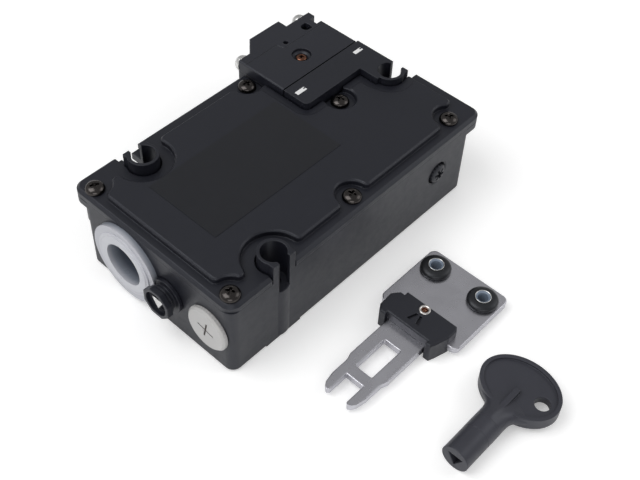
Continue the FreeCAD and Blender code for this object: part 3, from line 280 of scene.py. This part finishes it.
# ------------------------------------------------------------------ mesh helpers
def mesh_object(name, bm):
    """New object in the scene from bm, which is freed."""
    mesh = bpy.data.meshes.new(name)
    bm.to_mesh(mesh)
    bm.free()
    obj = bpy.data.objects.new(name, mesh)
    scene.collection.objects.link(obj)
    return obj


def smooth_up_to(obj, angle):
    """Smooth shading, with edges that turn by more than angle degrees kept sharp."""
    obj.data.polygons.foreach_set("use_smooth", [True] * len(obj.data.polygons))
    obj.data.set_sharp_from_angle(angle=math.radians(angle))


def finish_piece(name, bm, slot, body, mat=None, smooth=35, replaces=()):
    """Piece that rides on a body. Its material is the slot's own unless mat is given; smooth 0 is flat."""
    bmesh.ops.recalc_face_normals(bm, faces=bm.faces)
    obj = mesh_object(name, bm)
    obj.data.materials.append(mat or SLOT_MATERIALS[slot])
    if smooth:
        smooth_up_to(obj, smooth)
    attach(obj, body)
    for replaced in replaces:
        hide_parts(replaced)
    return obj


def facing(place, direction, spin=0.0):
    """Moves the origin to place in millimetres and takes +Z to direction, after a turn by spin about it."""
    turn = Vector((0, 0, 1)).rotation_difference(Vector(direction)).to_matrix().to_4x4()
    return Matrix.Translation(Vector(place)) @ turn @ Matrix.Rotation(spin, 4, "Z")


def turns(steps):
    """Angles of a full turn in equal steps."""
    return [2 * math.pi * i / steps for i in range(steps)]


def add_lathe(bm, profile, place, direction, steps=48, spin=0.0):
    """Surface of revolution of (radius, height) points in millimetres; closed where the radius is 0."""
    m = facing(place, direction, spin)
    rings = []
    for r, h in profile:
        if r == 0:
            rings.append([bm.verts.new((m @ Vector((0, 0, h))) * MM)])
            continue
        rings.append([bm.verts.new((m @ Vector((r * math.cos(a), r * math.sin(a), h))) * MM)
                      for a in turns(steps)])
    for a, b in zip(rings, rings[1:]):
        for i in range(steps):
            j = (i + 1) % steps
            quad = [a[i % len(a)], a[j % len(a)], b[j % len(b)], b[i % len(b)]]
            bm.faces.new(list(dict.fromkeys(quad)))


def lathed(name, profile, places, direction, slot, body, mat=None, steps=48, replaces=()):
    """One ring-shaped piece at each place; its profile is closed by a line back to the first point."""
    bm = bmesh.new()
    for place in places:
        loop = profile if profile[0][0] == 0 else profile + [profile[0]]
        add_lathe(bm, loop, place, direction, steps)
    bmesh.ops.remove_doubles(bm, verts=bm.verts, dist=1e-7)
    return finish_piece(name, bm, slot, body, mat, replaces=replaces)


def add_skin(bm, loops):
    """Joins closed loops of as many points each, given in millimetres, and caps both ends."""
    rings = [[bm.verts.new(Vector(p) * MM) for p in loop] for loop in loops]
    for near, far in zip(rings, rings[1:]):
        for i in range(len(near)):
            j = (i + 1) % len(near)
            bm.faces.new((near[i], near[j], far[j], far[i]))
    bm.faces.new(rings[0][::-1])
    bm.faces.new(rings[-1])


def add_block(bm, middle, size, top=(1.0, 1.0), turn=None):
    """Block in millimetres whose top face is scaled by top; turn is an extra rotation."""
    m = turn or Matrix.Identity(4)
    verts = []
    for z in (-0.5, 0.5):
        k = top if z > 0 else (1, 1)
        for x, y in ((-0.5, -0.5), (0.5, -0.5), (0.5, 0.5), (-0.5, 0.5)):
            p = Vector((x * size[0] * k[0], y * size[1] * k[1], z * size[2])) + Vector(middle)
            verts.append(bm.verts.new((m @ p) * MM))
    for f in ((3, 2, 1, 0), (4, 5, 6, 7), (0, 1, 5, 4), (1, 2, 6, 5), (2, 3, 7, 6), (3, 0, 4, 7)):
        bm.faces.new([verts[i] for i in f])


def cut_with(obj, cutter_bm):
    """Cuts the closed meshes in cutter_bm out of obj."""
    bmesh.ops.recalc_face_normals(cutter_bm, faces=cutter_bm.faces)
    cutter = mesh_object("cutter", cutter_bm)
    cut = obj.modifiers.new("cut", "BOOLEAN")
    cut.object = cutter
    cut.operation = "DIFFERENCE"
    cut.solver = "EXACT"
    depsgraph = bpy.context.evaluated_depsgraph_get()
    result = bpy.data.meshes.new_from_object(obj.evaluated_get(depsgraph))
    obj.modifiers.clear()
    whole = obj.data
    obj.data = result
    result.name = obj.name
    bpy.data.objects.remove(cutter)
    bpy.data.meshes.remove(whole)


# ------------------------------------------------------------------ screws on the case and the head
def pan_profile(r, h):
    """Rounded pan head with a small foot radius, closed at the top."""
    foot = 0.35
    sunk = 0.3
    arc_steps = 6
    first_angle = 12
    points = [(0, -sunk), (r - foot, -sunk), (r - 0.05, 0.05), (r, foot)]
    for i in range(arc_steps + 1):
        a = math.radians(first_angle + (90 - first_angle) * i / arc_steps)
        radius = r * math.cos(a) ** 0.75 if i < arc_steps else 0
        points.append((radius, foot + (h - foot) * math.sin(a)))
    return points


def screws(name, places, direction, r, h, slot, spins, cross, replaces):
    """Pan heads, each turned by its own spin, with a tapered cross recess whose wings are cross wide."""
    bm = bmesh.new()
    for place, spin in zip(places, spins):
        add_lathe(bm, pan_profile(r, h), place, direction, 44, spin)
    obj = finish_piece(name, bm, slot, "housing", smooth=40, replaces=(replaces,))
    wing_size = (r * 0.62, cross * 0.75, 2.3)
    wing_widening = (1.9, 1.5)
    for place, spin in zip(places, spins):
        for wing in range(2):
            cutter = bmesh.new()
            turn = facing(place, direction, spin + wing * math.pi / 2)
            add_block(cutter, (0, 0, h - 0.3), wing_size, wing_widening, turn)
            cut_with(obj, cutter)
    smooth_up_to(obj, 38)


def lid_screw_heads():
    head_height = 2.7
    places = seats("lid_screws", Z, head_height)
    screws("lid_screw_heads", places, (0, 0, 1), 4.1, head_height, "dark_screw",
           (1.1, 0.5, 0.2, 1.35, 0.35, 0.75), 1.15, "lid_screws")


def head_screw_heads():
    solid_head_height = 3.2
    places = seats("head_screws", Y, solid_head_height)
    screws("head_screw_heads", places, (0, 1, 0), 3.7, 3.9, "zinc_steel", (0.4, 0.9), 0.9, "head_screws")


def cover_screw():
    """Small brass head deep in its pocket, with a dished black ring round it."""
    solid_head_height = 1.2
    places = seats("head_cover_screw", Z, solid_head_height)
    screws("cover_screw_head", places, (0, 0, 1), 2.5, 1.1, "brass", (0.6,), 0.8, "head_cover_screw")
    lathed("cover_screw_collar", [(2.7, 0.0), (4.35, 0.0), (4.35, 0.9), (3.9, 0.75), (2.9, 0.3)],
           places, (0, 0, 1), "black_plastic", "housing")


def side_screw():
    """Round head with a knurled rim and a six-pointed recess, in a bush that lines its place in the wall."""
    solid_head_height = 1.9
    places = seats("side_release_screw", Y, solid_head_height, outwards=-1)
    out = (0, -1, 0)
    head = [(0, 0), (4.3, 0), (4.6, 0.3), (4.6, 2.3), (4.35, 3.0), (3.7, 3.5), (2.6, 3.8), (0, 3.9)]
    bm = bmesh.new()
    add_lathe(bm, head, places[0], out, 60)
    obj = finish_piece("side_screw_head", bm, "black_plastic", "housing", smooth=30,
                       replaces=("side_release_screw",))
    for i in range(3):
        groove = bmesh.new()
        turn = facing(places[0], out, i * math.pi / 3 + 0.35)
        add_block(groove, (0, 0, 3.4), (0.9, 5.4, 2.0), (1.4, 1.15), turn)
        cut_with(obj, groove)
    notches = bmesh.new()
    for a in turns(18):
        add_block(notches, (4.7, 0, 2.5), (0.9, 0.7, 3.4), turn=facing(places[0], out, a))
    cut_with(obj, notches)
    smooth_up_to(obj, 28)
    lathed("side_screw_bush", [(5.2, 0.0), (5.97, 0.0), (5.97, 2.35), (5.6, 2.42), (5.2, 2.0)],
           places, out, "black_plastic", "housing")


# ------------------------------------------------------------------ tongue actuator
def bushes():
    """Rubber domes above and below the tongue, each on a steel sleeve with a flared rim and a bore darkened
    with painted shade.
    """
    height = 8.0
    feet = seats("rubber_bushes", Z, height)
    up = (0, 0, 1)
    dome = [(2.9, 0.05), (6.0, 0.05), (6.4, 0.5), (6.4, 1.6), (6.0, 2.0), (4.2, 2.0), (4.2, 5.0), (6.3, 5.0),
            (6.5, 5.25), (6.5, 6.1), (6.35, 6.6), (6.0, 7.0), (5.5, 7.3), (4.9, 7.5), (4.2, 7.65),
            (3.4, 7.75), (2.9, 7.75)]
    tube = [(2.34, 0.05), (2.9, 0.05), (2.9, 7.6), (3.3, 8.0), (3.32, 8.12), (3.15, 8.2), (2.98, 8.1),
            (2.34, 7.5)]
    bore = [(2.26, 0.1), (2.33, 0.1), (2.35, 7.47), (2.99, 8.07), (2.95, 8.12), (2.26, 7.5)]
    lathed("bush_domes", dome, feet, up, "black_rubber", "tongue", replaces=("rubber_bushes",))
    lathed("bush_sleeve_tubes", tube, feet, up, "zinc_steel", "tongue", replaces=("bush_sleeves",))
    lathed("bush_sleeve_bores", bore, feet, up, "zinc_steel", "tongue", PAINTED_SHADE_BORE)


def eyelet():
    """Rolled rim of the hollow rivet through the guide, and its darker core."""
    height = 10.1
    feet = seats("guide_eyelet", Z, height)
    up = (0, 0, 1)
    ring = [(1.2, 0.1), (1.6, 0.1), (1.6, 9.5), (2.4, 9.5), (2.45, 9.7), (2.2, 9.95), (1.8, 10.0),
            (1.5, 9.8), (1.35, 9.4), (1.2, 9.0)]
    core = [(0, 7.6), (1.19, 7.6), (1.19, 9.0), (1.3, 9.4), (1.1, 9.45), (0.8, 8.8), (0, 8.5)]
    lathed("eyelet_ring", ring, feet, up, "white_plastic", "tongue", PALE_METAL, replaces=("guide_eyelet",))
    lathed("eyelet_core", core, feet, up, "brass", "tongue")


# ------------------------------------------------------------------ key
def neck_section(x, half_width, half_height, squareness, ridge):
    """Loop of points round the key's axis: a rounded oblong with a ridge along its top and bottom."""
    axis_y, axis_z = centre("release_key")[1:]
    ridge_half_width = 1.1
    loop = []
    for a in turns(72):
        c, s = math.cos(a), math.sin(a)
        y = half_width * math.copysign(abs(c) ** (2 / squareness), c)
        z = half_height * math.copysign(abs(s) ** (2 / squareness), s)
        if abs(s) > 0.2:
            z += math.copysign(ridge * math.exp(-(y / ridge_half_width) ** 2), s)
        loop.append((x, axis_y + y, axis_z + z))
    return loop


def key_neck():
    """Neck that runs from the round barrel into the flat bow."""
    # Each section: x, half width, half height, squareness, ridge height.
    sections = [
        (12.0, 5.72, 5.72, 2.0, 0.0), (16.0, 5.74, 5.72, 2.0, 0.0), (19.0, 5.72, 5.55, 2.05, 0.15),
        (21.5, 5.70, 5.1, 2.1, 0.4), (23.5, 5.72, 4.55, 2.2, 0.5), (25.0, 5.95, 4.1, 2.3, 0.5),
        (26.2, 6.5, 3.7, 2.4, 0.5), (27.2, 7.4, 3.35, 2.5, 0.5), (28.2, 8.8, 3.05, 2.6, 0.45),
        (29.2, 10.3, 2.8, 2.7, 0.4), (30.6, 10.8, 2.45, 2.6, 0.35), (32.5, 9.4, 2.0, 2.4, 0.2),
        (34.5, 6.0, 1.5, 2.2, 0.0)]
    bm = bmesh.new()
    add_skin(bm, [neck_section(*section) for section in sections])
    finish_piece("key_neck", bm, "key_plastic", "key", smooth=50)


# ------------------------------------------------------------------ entry wall
WALL_X = round(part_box("base_housing")[0].x / MM, 1)


def collar_rings():
    """Thread rings on the release collar's barrel, and its seat, both flat towards the cable plug."""
    _, axis_y, axis_z = centre("release_collar")
    barrel_flat = 9
    seat_flat = 5.3
    root, crest = 6.3, 6.6
    pitch = 0.6
    thread_x = -32.2
    rings = [(thread_x + pitch / 2 * i, crest if i % 2 else root, barrel_flat) for i in range(5)]
    rings += [(x, r, seat_flat) for x, r in
              ((-31.0, 5.6), (-29.6, 5.6), (-29.6, 7.9), (-28.0, 7.9), (WALL_X, 7.6))]
    bm = bmesh.new()
    add_skin(bm, [[(x, axis_y + min(r * math.cos(a), flat), axis_z + r * math.sin(a)) for a in turns(64)]
                  for x, r, flat in rings])
    finish_piece("collar_rings", bm, "black_plastic", "housing", smooth=25)


def blanking_plug():
    """Fine ribs round the plug's rim, and a dark cross of painted shade in its cross recess."""
    _, axis_y, axis_z = centre("blanking_plug")
    ribs = bmesh.new()
    for a in turns(44):
        turn = Matrix.Translation((WALL_X - 0.7, axis_y, axis_z)) @ Matrix.Rotation(a, 4, "X")
        add_block(ribs, (0, 0, 10.0), (1.2, 0.55, 0.3), turn=turn)
    finish_piece("blanking_plug_flutes", ribs, "white_plastic", "housing", smooth=0)

    length = 8.3
    width = 0.8
    tilt = Matrix.Rotation(math.radians(12), 4, "X")
    turn = Matrix.Translation((WALL_X - 1.75, axis_y, axis_z)) @ tilt
    # Painted shade: a dark cross laid into the recess where its shadow falls.
    cross = bmesh.new()
    add_block(cross, (0, 0, 0), (0.6, length, width), turn=turn)
    add_block(cross, (0, 0, 0), (0.58, width, length), turn=turn)
    finish_piece("blanking_plug_cross_shade", cross, "white_plastic", "housing", RECESS_SHADOW, smooth=0)


def cable_plug_ring():
    """Low bead round the cup's mouth on the cable plug's flange."""
    _, axis_y, axis_z = centre("cable_entry_plug")
    flange_x = -30.2
    lathed("cable_plug_ring", [(13.2, -0.05), (13.4, 0.35), (14.1, 0.55), (14.8, 0.35), (15.0, -0.05)],
           [(flange_x, axis_y, axis_z)], (-1, 0, 0), "white_plastic", "housing", CUP, steps=96)


# ------------------------------------------------------------------ marks on the plate beside the head
def dash(name, x, y, length, width):
    """Printed white dash with rounded corners and a notch in the end towards +X."""
    plate_top = round(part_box("head_cover")[1].z / MM, 1)
    z = plate_top + 0.02
    corner = 0.15 * MM
    bm = bmesh.new()
    add_block(bm, (x, y, z), (length, width, 0.08))
    upright = [e for e in bm.edges if abs(e.verts[0].co.z - e.verts[1].co.z) > 1e-6]
    bmesh.ops.bevel(bm, geom=upright, offset=corner, segments=2, affect="EDGES")
    obj = finish_piece(name, bm, "white_plastic", "housing", WHITE_INK, smooth=0)
    notch = bmesh.new()
    add_block(notch, (x + length / 2 - 0.35, y + 0.25, z), (1.5, 0.7, 1.0))
    cut_with(obj, notch)


# ------------------------------------------------------------------ stage
def floor_profile():
    """(distance, height) points in metres of a floor that curves up into a wall at one side."""
    near = -4.0
    bend_start = 1.6
    bend_r = 0.8
    wall_top = 3.0
    points = [(near, 0.0), (bend_start, 0.0)]
    for i in range(1, 11):
        a = math.pi / 2 * i / 10
        points.append((bend_start + bend_r * math.sin(a), bend_r - bend_r * math.cos(a)))
    points.append((bend_start + bend_r, wall_top))
    return points


def floor_material():
    """White board that glows a little to the camera and in reflections, so that it stays white."""
    mat, nt, shader = new_material("studio_floor")
    tint = ramp(nt, noise(nt, coords(nt), 6, 2), [(0.3, 0.90), (0.7, 0.915)])
    nt.links.new(tint, shader.inputs["Base Color"])
    shader.inputs["Roughness"].default_value = 0.75
    shader.inputs["Specular IOR Level"].default_value = 0.2
    path = node(nt, "ShaderNodeLightPath")
    level = node(nt, "ShaderNodeMath", operation="MAXIMUM")
    for i, (ray, strength) in enumerate((("Is Camera Ray", 0.3), ("Is Glossy Ray", 0.16))):
        share = node(nt, "ShaderNodeMath", operation="MULTIPLY")
        share.inputs[1].default_value = strength
        nt.links.new(path.outputs[ray], share.inputs[0])
        nt.links.new(share.outputs[0], level.inputs[i])
    glow = node(nt, "ShaderNodeEmission")
    nt.links.new(level.outputs[0], glow.inputs["Strength"])
    both = node(nt, "ShaderNodeAddShader")
    nt.links.new(shader.outputs[0], both.inputs[0])
    nt.links.new(glow.outputs[0], both.inputs[1])
    nt.links.new(both.outputs[0], nt.nodes["Material Output"].inputs["Surface"])
    return mat


def floor():
    half_width = 4.0
    gap_under_feet = 0.0002
    turn = Matrix.Rotation(math.radians(49), 4, "Z")
    bm = bmesh.new()
    left, right = [[bm.verts.new(turn @ Vector((side, distance, height - gap_under_feet)))
                    for distance, height in floor_profile()] for side in (-half_width, half_width)]
    for i in range(len(left) - 1):
        bm.faces.new((left[i], left[i + 1], right[i + 1], right[i]))
    obj = mesh_object("floor", bm)
    obj.data.materials.append(floor_material())


def lamp(name, where, aim, size, power):
    data = bpy.data.lights.new(name, "AREA")
    data.shape = "RECTANGLE"
    data.size, data.size_y = size
    data.energy = power
    obj = bpy.data.objects.new(name, data)
    obj.location = where
    obj.rotation_euler = (Vector(aim) - Vector(where)).to_track_quat("-Z", "Y").to_euler()
    scene.collection.objects.link(obj)


def world():
    """White surroundings: full strength to the camera, dimmer as light."""
    studio = bpy.data.worlds.new("studio")
    scene.world = studio
    studio.use_nodes = True
    nt = studio.node_tree
    background = nt.nodes["Background"]
    background.inputs["Color"].default_value = (1, 1, 1, 1)
    path = node(nt, "ShaderNodeLightPath")
    level = node(nt, "ShaderNodeMapRange")
    level.inputs["To Min"].default_value = 0.42
    level.inputs["To Max"].default_value = 1.0
    nt.links.new(path.outputs["Is Camera Ray"], level.inputs["Value"])
    nt.links.new(level.outputs["Result"], background.inputs["Strength"])


def camera():
    data = bpy.data.cameras.new("camera")
    data.sensor_width = 36.0
    data.lens = 59.62
    data.shift_x = 0.01954
    data.shift_y = -0.03787
    data.clip_start, data.clip_end = 0.01, 20
    obj = bpy.data.objects.new("camera", data)
    obj.location = (-0.180963, -0.212737, 0.341802)
    obj.rotation_euler = [math.radians(degrees) for degrees in (42.35038, -1.45335, -46.84849)]
    scene.collection.objects.link(obj)
    scene.camera = obj


# ------------------------------------------------------------------ the scene
lid_screw_heads()
head_screw_heads()
cover_screw()
side_screw()
bushes()
eyelet()
key_neck()
collar_rings()
blanking_plug()
cable_plug_ring()
dash("slot_mark_side", 72.0, 17.9, 5.6, 2.1)
dash("slot_mark_end", 109.3, 18.5, 4.9, 1.9)

floor()
world()
lamp("key", (-0.5, 0.35, 1.1), (0.03, 0, 0.02), (0.9, 0.9), 7.5)
lamp("front", (-0.9, -0.9, 0.55), (0.03, -0.03, 0.02), (0.9, 0.6), 3.4)
lamp("right", (0.8, -0.6, 0.7), (0.03, 0, 0.02), (0.7, 0.7), 2.1)
camera()
scene.view_settings.view_transform = "Standard"
